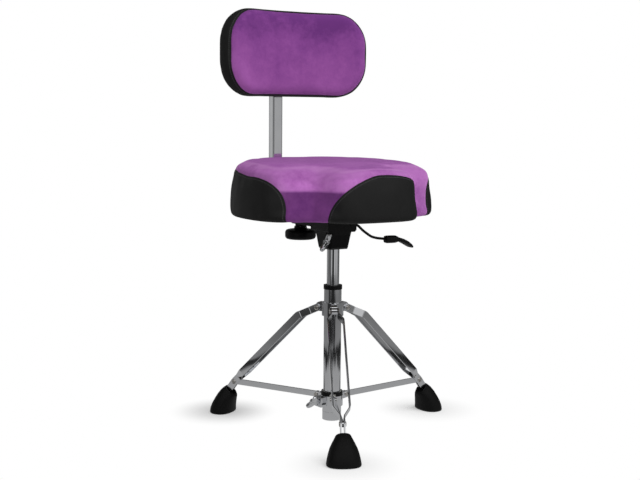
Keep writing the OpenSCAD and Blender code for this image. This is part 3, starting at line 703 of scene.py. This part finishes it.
def rounded_oblong(half_x, half_y, corner, steps, edge_steps=(1, 1)):
    """Four corner arcs, and points along the two kinds of edge between them."""
    def on_arc(c, degrees):
        a = math.radians(degrees)
        centre_x = (half_x - corner) * (1 if c in (0, 3) else -1)
        centre_y = (half_y - corner) * (1 if c in (0, 1) else -1)
        return (centre_x + corner * math.cos(a), centre_y + corner * math.sin(a))

    points = []
    for c in range(4):
        points += [on_arc(c, 90 * c + 90 * k / steps) for k in range(steps + 1)]
        (x, y), (to_x, to_y) = points[-1], on_arc((c + 1) % 4, 90 * (c + 1))
        count = edge_steps[c % 2]
        points += [(x + (to_x - x) * k / count, y + (to_y - y) * k / count) for k in range(1, count)]
    return points


section = rounded_oblong(BAR_HALF, BAR_HALF, BAR_CORNER, 4)
run = [(BAR_Y, BAR_Z, 0.0), (POST_Y - BEND, BAR_Z, 0.0)]  # place along Y, height, turn in degrees
for turn in range(6, 90, 6):
    a = math.radians(turn)
    run.append((POST_Y - BEND + BEND * math.sin(a), BAR_Z + BEND - BEND * math.cos(a), float(turn)))
run += [(POST_Y, BAR_Z + BEND, 90.0), (POST_Y, POST_TOP, 90.0)]
loops = []
for y, z, turn in run:
    flat, steep = math.cos(math.radians(turn)), math.sin(math.radians(turn))
    loops.append([Vector((u, y - v * steep, z + v * flat)) for u, v in section])
put("back_tube", loft(loops), "rear_bar", "chrome", "back_bar", smooth=50.0)

# %% [markdown]
# The round handwheel under the seat clamps the back bar. It is a turned
# shape with a rolled rim and a stem, so a profile is drawn once and spun.

# %% Handwheel
WHEEL_Y, WHEEL_R = 140.0, 35.0
wheel = turned([
    (0.0, 404.0), (19.0, 404.0), (21.5, 401.6), (28.0, 401.0), (31.6, 402.0), (34.0, 404.6),
    (WHEEL_R, 408.0), (WHEEL_R, 416.0), (34.0, 419.4), (31.6, 422.0), (28.0, 423.0), (19.0, 423.4),
    (15.6, 425.0), (14.2, 427.6), (14.0, 430.2), (0.0, 430.2),
], 72)
bmesh.ops.translate(wheel, vec=(0.0, WHEEL_Y, 0.0), verts=wheel.verts)
put("depth_handwheel", wheel, "depth_clamp", "black_plastic", "depth_knob", smooth=50.0)

# %% [markdown]
# The height lever is a steel rod, flattened where it presses the valve, bent
# down past the seat's edge and pushed into a moulded grip. Both are lofts of
# oval sections along a path in one plane.

# %% Height lever
LEVER_BENDS = [(14.0, 448.0), (42.0, 448.0), (63.0, 441.0), (78.0, 428.0),
               (98.0, 415.0), (112.0, 411.0), (142.0, 407.0)]
LEVER_R, BEND_REACH = 2.9, 5.0
rod = [(-6.0, 448.0, 1.4, 5.6), (12.0, 448.0, 1.6, 5.8), (20.0, 448.0, LEVER_R, 4.5),
       (28.0, 448.0, LEVER_R, LEVER_R)]
for p, q, r in zip(LEVER_BENDS, LEVER_BENDS[1:], LEVER_BENDS[2:]):
    p, q, r = Vector(p), Vector(q), Vector(r)
    a, b = q + (p - q).normalized() * BEND_REACH, q + (r - q).normalized() * BEND_REACH
    for t in (0.0, 0.33, 0.67, 1.0):
        rod.append((*a.lerp(q, t).lerp(q.lerp(b, t), t), LEVER_R, LEVER_R))
rod.append((*LEVER_BENDS[-1], LEVER_R, LEVER_R))
put("lever_steel", oval_loft(rod), "height_lever", "black_paint", "lever_rod", smooth=50.0)

grip = [
    (135.0, 406.8, 5.6, 5.0), (136.2, 406.8, 7.6, 7.0), (140.0, 406.6, 8.4, 8.0), (152.0, 406.4, 8.5, 8.2),
    (162.0, 406.2, 8.2, 8.0), (166.0, 405.8, 6.8, 8.0), (168.5, 405.4, 5.2, 8.6), (172.0, 404.6, 4.9, 10.4),
    (180.0, 402.2, 4.8, 13.0), (190.0, 397.6, 4.6, 14.0), (199.0, 391.9, 3.9, 13.6),
    (204.5, 388.0, 3.0, 11.6), (207.3, 386.2, 1.8, 8.4),
]
put("lever_handle", oval_loft(grip, 36, 0.62), "height_lever", "black_plastic", "lever_grip",
    smooth=50.0)

# %% [markdown]
# The seat is a rounded box with a recess for each thigh, so it has a horn in
# front and a lobe at each side. A soft form has no drawing, but its outline
# and crown follow a few simple curves. The closed form is lofted from them a
# little too small, remeshed evenly and then swollen as cloth under air
# pressure, which gives the tight, full look of a stuffed cover.

# %% Seat form
SEAT_Z0, SEAT_FRONT_Z, SEAT_RISE = 467.0, 569.0, 15.0
HALF_W, FRONT, REAR, THIGH, SQUARENESS = 216.0, 194.0, 196.0, 45.0, 2.4


def thigh(a):
    return math.exp(-(((abs(a) - 46.0) / 14.0) ** 2))


def worn(a):
    """Where the lobes and the horn are worn down towards the recesses."""
    return math.exp(-(((abs(a) - 52.0) / 21.0) ** 2))


def seat_edge(a):
    """Distance of the outline from the column, a degrees from the front."""
    reach = FRONT if abs(a) < 90.0 else REAR
    s, c = abs(math.sin(math.radians(a))), abs(math.cos(math.radians(a)))
    return ((s / HALF_W) ** SQUARENESS + (c / reach) ** SQUARENESS) ** (-1 / SQUARENESS) - THIGH * thigh(a)


def seat_top(y):
    return SEAT_FRONT_Z + SEAT_RISE * (y + FRONT) / (FRONT + REAR)


def seat_ring(inset, height, drop=None, count=180):
    """One ring of the form; its height counts from the pan, or drop says how far
    it lies under the top: everywhere, at the thighs, and where the top is worn."""
    points = []
    for k in range(count):
        a = 360.0 * k / count - 180.0
        r = seat_edge(a) - inset
        x, y = r * math.sin(math.radians(a)), -r * math.cos(math.radians(a))
        z = SEAT_Z0 + height
        if drop:
            z = seat_top(y) - drop[0] - drop[1] * thigh(a) - drop[2] * worn(a)
        points.append(Vector((x, y, z)))
    return points


SWELL = 1.2  # millimetres that the form starts too small
seat_loops = [seat_ring(100.0, 9.0), seat_ring(40.0, 9.0), seat_ring(36.0, -1.6), seat_ring(26.0, -2.0)]
# Inset, height, and how much of the swelling the ring leaves room for.
for inset, height, room in [(5.6, -2.4, 0.2), (0.4, -0.8, 0.6), (-2.6, 2.8, 0.9), (-3.8, 9.5, 1.0),
                            (-3.2, 36.0, 1.0), (-1.8, 56.0, 1.0)]:
    seat_loops.append(seat_ring(inset + SWELL * room, height))
# Inset, and the drop everywhere, at the thighs and where the top is worn.
for inset, down, more, wear in [(-0.8, 24.0, 12.0, 3.0), (0.0, 16.0, 13.0, 4.0), (3.2, 9.6, 13.0, 4.5),
                                (9.0, 4.4, 11.0, 5.0), (20.0, 1.5, 7.0, 5.0), (32.0, 0.3, 3.5, 4.0),
                                (44.0, 0.0, 1.5, 2.5), (70.0, 0.0, 0.0, 0.8), (100.0, 0.0, 0.0, 0.0)]:
    seat_loops.append(seat_ring(inset + SWELL, 0.0, (down + SWELL, more, wear)))
seat_form = loft(seat_loops)
print("seat form:", len(seat_form.verts), "points before the cloth")

# %% [markdown]
# The cloth step is the same for both cushions: an even remesh, twenty frames
# of air pressure without gravity, and a cap on how far any point may travel,
# so that the swelling never spoils the outline. Points that rest on the board
# are pinned, and a few smoothing passes calm the surface at the end.

# %% Swelling a cushion
VOXEL, PRESSURE, CALMING_PASSES = 0.005, 4.0, 8


def inflate(even, rest, pinned):
    """Where the points of an even mesh go in twenty frames of cloth under pressure."""
    body = bpy.data.objects.new("cloth", even)
    scene.collection.objects.link(body)
    group = body.vertex_groups.new(name="pinned")
    group.add([k for k, p in enumerate(rest) if pinned(p)], 1.0, "REPLACE")
    cloth = body.modifiers.new("cloth", "CLOTH")
    cloth.settings.use_pressure = True
    cloth.settings.uniform_pressure_force = PRESSURE
    cloth.settings.vertex_group_mass = "pinned"
    cloth.settings.effector_weights.gravity = 0.0
    cloth.settings.quality = 5
    cloth.point_cache.frame_start, cloth.point_cache.frame_end = 1, 20
    for number in range(1, 21):
        scene.frame_set(number)
    swollen = body.evaluated_get(bpy.context.evaluated_depsgraph_get())
    after = np.array([v.co for v in swollen.to_mesh().vertices])
    swollen.to_mesh_clear()
    bpy.data.objects.remove(body)
    scene.frame_set(1)
    return after


def swell(bm, cap, pinned):
    """Turns a closed form in millimetres into a stuffed mesh in metres."""
    mesh = bpy.data.meshes.new("form")
    bmesh.ops.scale(bm, vec=(0.001, 0.001, 0.001), verts=bm.verts)
    bm.to_mesh(mesh)
    bm.free()
    form = bpy.data.objects.new("form", mesh)
    scene.collection.objects.link(form)
    remesh = form.modifiers.new("remesh", "REMESH")
    remesh.mode = "VOXEL"
    remesh.voxel_size = VOXEL
    graph = bpy.context.evaluated_depsgraph_get()
    even = bpy.data.meshes.new_from_object(form.evaluated_get(graph))
    bpy.data.objects.remove(form)
    rest = np.array([v.co for v in even.vertices])
    after = inflate(even, rest, pinned)
    moved = after - rest
    length = np.linalg.norm(moved, axis=1, keepdims=True) + 1e-9
    moved *= np.minimum(1.0, cap / length)
    even.vertices.foreach_set("co", (rest + moved).ravel())
    calm = bmesh.new()
    calm.from_mesh(even)
    for _ in range(CALMING_PASSES):
        bmesh.ops.smooth_vert(calm, verts=calm.verts, factor=0.5,
                              use_axis_x=True, use_axis_y=True, use_axis_z=True)
    calm.to_mesh(even)
    calm.free()
    even.update()
    print(f"swollen form: {len(rest)} points, mean travel {1000 * length.mean():.1f} mm before the cap")
    return even


def line_distance(points, line):
    """Distance of each 2D point to a polyline, and the length along it there."""
    best = np.full(len(points), 1e9)
    along = np.zeros(len(points))
    walked = 0.0
    for p, q in zip(line[:-1], line[1:]):
        d = q - p
        size = float(np.hypot(*d))
        t = np.clip(((points - p) @ d) / max(size * size, 1e-12), 0.0, 1.0)
        away = np.linalg.norm(points - (p + t[:, None] * d), axis=1)
        closer = away < best
        best = np.where(closer, away, best)
        along = np.where(closer, walked + t * size, along)
        walked += size
    return best, along


def sew(mesh, seam, along, pinch, reach):
    """Writes the seam attributes in metres and pulls the cover in along the seam."""
    points = np.array([v.co for v in mesh.vertices])
    normals = np.array([v.normal for v in mesh.vertices])
    pull = pinch * np.exp(-((seam / reach) ** 2))
    mesh.vertices.foreach_set("co", (points - normals * pull[:, None]).ravel())
    for name, values in (("seam", seam), ("along", along), ("tilt", normals[:, 2])):
        layer = mesh.attributes.new(name, "FLOAT", "POINT")
        layer.data.foreach_set("value", values.astype(np.float32))
    mesh.update()


def cushion(name, mesh, body, fill, *nodes):
    mesh.transform(Matrix.Translation(AXIS))
    mesh.shade_smooth()
    mesh.materials.clear()
    mesh.materials.append(cover_cloth)
    mesh.name = name
    piece = bpy.data.objects.new(name, mesh)
    scene.collection.objects.link(piece)
    fine = piece.modifiers.new("fine", "SUBSURF")
    fine.levels = fine.render_levels = 1
    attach(piece, body)
    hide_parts(*nodes)
    print(f"{name}: {len(mesh.polygons)} faces")


print("cushion helpers ready")

# %% [markdown]
# The seat's seams are drawn on the side of the cushion, as the angle from the
# front and the height. The horn's panel is a low arch, and each lobe's panel
# rises steeply from the recess and then runs round the back. Between them the
# velvet flows down through the recesses to the pan.

# %% Seat cushion
HORN_Z, HORN_H, LOBE_Z, LOBE_H, HEM_Z = 468.0, 94.0, 469.0, 86.0, 455.0
HORN_A, HORN_POWER = {-1: 35.8, 1: 41.0}, {-1: 1.75, 1: 2.7}  # by side: degrees, squareness
LOBE_A, LOBE_POWER = {-1: 29.8, 1: 30.0}, {-1: 3.0, 1: 4.5}
LOBE_TAIL = [[109.0, 563.0], [130.0, 567.0], [180.0, 569.0]]


def arch(wide, power, foot, rise):
    """A quarter of a squared oval, from its foot at the full width to its top."""
    turns = np.radians(np.linspace(0.0, 90.0, 40))
    return np.stack([wide * np.cos(turns) ** (2 / power), foot + rise * np.sin(turns) ** (2 / power)], 1)


seat_mesh = swell(seat_form, cap=0.006, pinned=lambda p: p[2] < 0.468)
spots = np.array([v.co for v in seat_mesh.vertices]) * 1000
angle = np.degrees(np.arctan2(spots[:, 0], -spots[:, 1]))
per_degree = math.radians(1.0) * 190.0  # millimetres round the cushion's side
seam, along = np.zeros(len(spots)), np.zeros(len(spots))
for side in (-1, 1):
    here = angle * side >= 0
    away, height = np.abs(angle[here]), spots[here, 2]
    wide, power = HORN_A[side], HORN_POWER[side]
    horn = arch(wide, power, HORN_Z, HORN_H)
    in_horn = (away / wide) ** power + (np.maximum(height - HORN_Z, 0) / HORN_H) ** power < 1
    lobe = arch(LOBE_A[side], LOBE_POWER[side], LOBE_Z, LOBE_H)
    lobe[:, 0] = 90 - lobe[:, 0]
    lobe = np.vstack([lobe, LOBE_TAIL])
    in_lobe = (away > lobe[0][0]) & (height < np.interp(away, lobe[:, 0], lobe[:, 1]))
    flat = np.stack([away * per_degree, height], 1)
    to_horn, along_horn = line_distance(flat, np.vstack([[wide, HEM_Z], horn]) * [per_degree, 1.0])
    to_lobe, along_lobe = line_distance(flat, np.vstack([[lobe[0][0], HEM_Z], lobe]) * [per_degree, 1.0])
    nearest = np.minimum(to_horn, to_lobe)
    seam[here] = np.where(in_horn | in_lobe, nearest, -nearest) * 0.001
    along[here] = np.where(to_horn < to_lobe, along_horn, along_lobe) * 0.001
sew(seat_mesh, seam, along, 0.0012, 0.004)
cushion("seat_cushion", seat_mesh, "seat", 0.9, "seat_cover", "seat_foam")

# %% [markdown]
# The back pad is a rounded oblong bent to a gentle curve about an upright
# axis in front of the sitter. Its form is a stack of outlines through the
# thickness, all bent by the same rule, and it is swollen like the seat. The
# velvet covers the face, and the seam runs round its rim.

# %% Back pad
BACK_MID_Y, BACK_MID_Z, BACK_CURVE = 190.0, 816.0, 560.0
BACK_HALF_W, BACK_HALF_H, BACK_T, CORNER = 186.0, 101.0, 50.0, 80.0
CENTRE_Y = BACK_MID_Y - BACK_CURVE  # of the curve that the pad is bent to
SEAM_DEPTH = 17.5  # the seam lies this far in front of the pad's middle


def bent(s, q, z):
    """Bends the point s along the pad and q through it round the curve's centre."""
    a, r = s / BACK_CURVE, BACK_CURVE + q
    return Vector((r * math.sin(a), CENTRE_Y + r * math.cos(a), z))


def pad_ring(inset, place, scale=1.0, shrink=0.0):
    """One outline; its place runs from 0 at the board to 1 at the sitter's side."""
    q = BACK_T * (0.5 - place)
    q -= shrink * math.copysign(1.0, q)
    inset += 0.3 * shrink
    outline = rounded_oblong(BACK_HALF_W - inset, BACK_HALF_H - inset, CORNER - inset, 14, (36, 10))
    return [bent(s * scale, q, BACK_MID_Z + z * scale) for s, z in outline]


pad_loops = [pad_ring(34.0, 0.03, 0.35), pad_ring(34.0, 0.03, 0.7), pad_ring(34.0, 0.03)]
pad_loops += [pad_ring(26.0, 0.005)]
RIM_RINGS = [(10.0, 0.01), (3.0, 0.06), (0.0, 0.17), (0.0, 0.35), (0.0, 0.55), (0.0, 0.75), (2.0, 0.88),
             (8.0, 0.965), (20.0, 1.0)]
PAD_SHRINK = 2.2  # the same for the pad, on its faces
for inset, place in RIM_RINGS:
    pad_loops.append(pad_ring(inset, place, 1.0, PAD_SHRINK))
for scale in (0.97, 0.7, 0.35):
    pad_loops.append(pad_ring(34.0, 1.0, scale, PAD_SHRINK))
board = 0.001 * (BACK_CURVE + 22.0)
pad_mesh = swell(loft(pad_loops), cap=0.005,
                 pinned=lambda p: math.hypot(p[0], p[1] - 0.001 * CENTRE_Y) > board)
spots = np.array([v.co for v in pad_mesh.vertices]) * 1000
depth = np.hypot(spots[:, 0], spots[:, 1] - CENTRE_Y) - BACK_CURVE
around = np.arctan2(spots[:, 2] - BACK_MID_Z, spots[:, 0])
sew(pad_mesh, (depth + SEAM_DEPTH) * 0.001, around * 0.15, 0.0010, 0.004)
cushion("back_cushion", pad_mesh, "backrest", 0.9, "backrest_cover", "backrest_foam")

# %% [markdown]
# What is left of the frame is shown as it is: tubes, screws, bushes and the
# works inside the column. Each node takes the finish of its material slot.

# %% Finishes for the rest of the frame
shown = 0
for part in frame["record"]["subparts"]:
    node = frame["nodes"][part["node"]]
    if not node.hide_render:
        node.data.materials.clear()
        node.data.materials.append(BY_SLOT[part["material_slot"]])
        shown += 1
print("frame nodes shown as they are:", shown)

# %% [markdown]
# The stage is a white floor, one large flat mesh that isn't part of the
# object. Its finish comes with the room below.

# %% Floor
floor_bm = bmesh.new()
bmesh.ops.create_grid(floor_bm, x_segments=1, y_segments=1, size=30.0)
floor_mesh = bpy.data.meshes.new("floor")
floor_bm.to_mesh(floor_mesh)
floor_bm.free()
floor = bpy.data.objects.new("floor", floor_mesh)
scene.collection.objects.link(floor)
print("floor mesh laid")

# %% [markdown]
# Chrome shows the room, so the room is made for it. Mirror rays see a grey
# studio with a few upright white panels and dark gaps between them. Its
# brightness is a function of the bearing alone, and the same function serves
# the walls and the far floor, so that the two join without a seam.

# %% Walls of the room
BEARING_OF_VIEWER = -122.0  # degrees from +X, seen from the column
# Each panel: bearing from the viewer's, half width and soft edge in degrees, strength.
PALE_PANELS = [(66, 24, 8, 0.30), (29, 8, 4, 0.50), (-27, 7, 4, 0.45), (-114, 8, 3, 0.36), (-140, 8, 4, 0.30)]
DARK_GAPS = [(0, 13, 5, 0.09), (-125, 3, 1.5, 0.4)]


def near(shader, angle, off_viewer, half, soft):
    """1 where the angle (in turns) lies within half of the bearing, 0 outside; degrees."""
    centre = (BEARING_OF_VIEWER + off_viewer) / 360.0
    off = shader.node("Math", {"operation": "FRACT"}, {0: angle - centre + 1.5})
    off = shader.node("Math", {"operation": "ABSOLUTE"}, {0: off - 0.5})
    return shader.slope(off, (half - soft) / 360.0, (half + soft) / 360.0, 1.0, 0.0)


def bearing_of(shader, coords):
    x, y = (shader.axis(coords, letter) for letter in "XY")
    return shader.node("Math", {"operation": "ARCTAN2"}, {0: y, 1: x}) / (2 * math.pi)


def walls(shader, angle):
    """Brightness of the studio's walls in this direction, as chrome sees it."""
    light = 0.12
    for place, half, soft, strength in PALE_PANELS:
        light = light + strength * near(shader, angle, place, half, soft)
    for place, half, soft, strength in DARK_GAPS:
        light = light - strength * near(shader, angle, place, half, soft)
    return shader.node("Math", {"operation": "MAXIMUM"}, {0: light, 1: 0.02})


print("walls:", len(PALE_PANELS), "panels and", len(DARK_GAPS), "gaps")

# %% [markdown]
# The camera sees a matt floor close to the feet, where it takes their soft
# shadows, and plain white further out, so that no horizon shows. Mirror rays
# see it grey, with a dark ring and a dark stretch towards the viewer, because
# chrome needs contrast. Its far end takes the walls' brightness.

# %% Floor finish
floor_finish, shader, coords = new_finish("floor_white")
path = {word: shader.node("LightPath", out=f"Is {word} Ray") for word in ("Camera", "Glossy", "Transmission")}
from_feet = None
for i in (1, 2, 3):
    away = shader.node("VectorMath", {"operation": "DISTANCE"},
                       {0: coords, 1: on_leg(i, FOOT_R, 0.0) * 0.001 + AXIS}, out="Value")
    from_feet = shader.node("Math", {"operation": "MINIMUM"}, {0: from_feet, 1: away}) if from_feet else away
matt = shader.node("BsdfDiffuse", {}, {"Color": grey(0.90)})
glow = shader.node("Emission", {}, {"Color": grey(1.0), "Strength": 1.0})
shown_white = path["Camera"] * shader.slope(from_feet, 0.03, 0.13, 0.38, 1.0)
seen = shader.node("MixShader", {}, {"Fac": shown_white, 1: matt, 2: glow})

apart = shader.node("VectorMath", {"operation": "LENGTH"}, {0: coords}, out="Value")
angle = bearing_of(shader, coords)
wobble = shader.noise(coords, 2.6, 2.0) - 0.5
rings = shader.node("ValToRGB", {"stops": [
    (0.0, grey(0.42)), (0.20, grey(0.36)), (0.225, grey(0.015)), (0.27, grey(0.015)), (0.295, grey(0.24)),
    (0.55, grey(0.18)),
]}, {0: apart / 3.0 + 0.16 * wobble})
toward_viewer = near(shader, angle, -10, 45, 9) * shader.slope(apart, 0.85, 1.0, 0.0, 1.0, "LINEAR")
mirrored = shader.mix(toward_viewer, rings, grey(0.02))
mirrored = shader.mix(shader.slope(apart, 1.9, 2.3, 0.0, 1.0, "LINEAR"), mirrored, walls(shader, angle))
studio = shader.node("Emission", {}, {"Color": mirrored, "Strength": 1.0})
reflected = path["Glossy"] + path["Transmission"]
shader.finish(shader.node("MixShader", {}, {"Fac": reflected, 1: seen, 2: studio}))
floor_mesh.materials.append(floor_finish)
print("floor finish:", len(floor_finish.node_tree.nodes), "nodes")

# %% [markdown]
# The world is white for the camera and an even pale dome for the light that
# falls on the throne. Mirror rays see the studio's walls and one broad white
# panel above eye level.

# %% World
world = bpy.data.worlds.new("studio")
scene.world = world
world.use_nodes = True
world.node_tree.nodes.clear()
sky = Shader(world.node_tree)
way = sky.node("TexCoord", out="Generated")
height = sky.axis(way, "Z")
angle = bearing_of(sky, way)
rise, fall = sky.slope(height, 0.34, 0.42), sky.slope(height, 0.80, 0.86, 1.0, 0.0)
panel = rise * fall * near(sky, angle, 10, 70, 12)
mirrored = sky.mix(panel, sky.mix(rise, walls(sky, angle), grey(0.10)), grey(0.95))
even = sky.node("Background", {}, {"Color": grey(1.0), "Strength": 0.50})
mirror = sky.node("Background", {}, {"Color": mirrored, "Strength": 1.0})
white = sky.node("Background", {}, {"Color": grey(1.0), "Strength": 1.0})
lit = sky.node("MixShader", {}, {"Fac": sky.node("LightPath", out="Is Glossy Ray"), 1: even, 2: mirror})
dome = sky.node("MixShader", {}, {"Fac": sky.node("LightPath", out="Is Camera Ray"), 1: lit, 2: white})
output = world.node_tree.nodes.new("ShaderNodeOutputWorld")
world.node_tree.links.new(dome.socket, output.inputs["Surface"])
print("world: grey for mirrors, white for the camera")

# %% [markdown]
# One large softbox hangs in front of the throne and above it. It lights the
# tops and slopes more than the upright faces, and its size keeps every shadow
# soft. Mirrors don't see it, since the room has its own panel for them.


# %% Softbox
def softbox(name, place, aim, size, watts):
    data = bpy.data.lights.new(name, "AREA")
    data.shape = "RECTANGLE"
    data.size, data.size_y = size
    data.energy = watts
    lamp = bpy.data.objects.new(name, data)
    scene.collection.objects.link(lamp)
    lamp.location = place
    lamp.rotation_euler = (Vector(aim) - Vector(place)).to_track_quat("-Z", "Y").to_euler()
    lamp.visible_glossy = False


softbox("softbox_top", (0.45, -1.35, 2.5), (0.0, 0.0, 0.5), (2.0, 2.0), 48.0)
print("softbox hung")
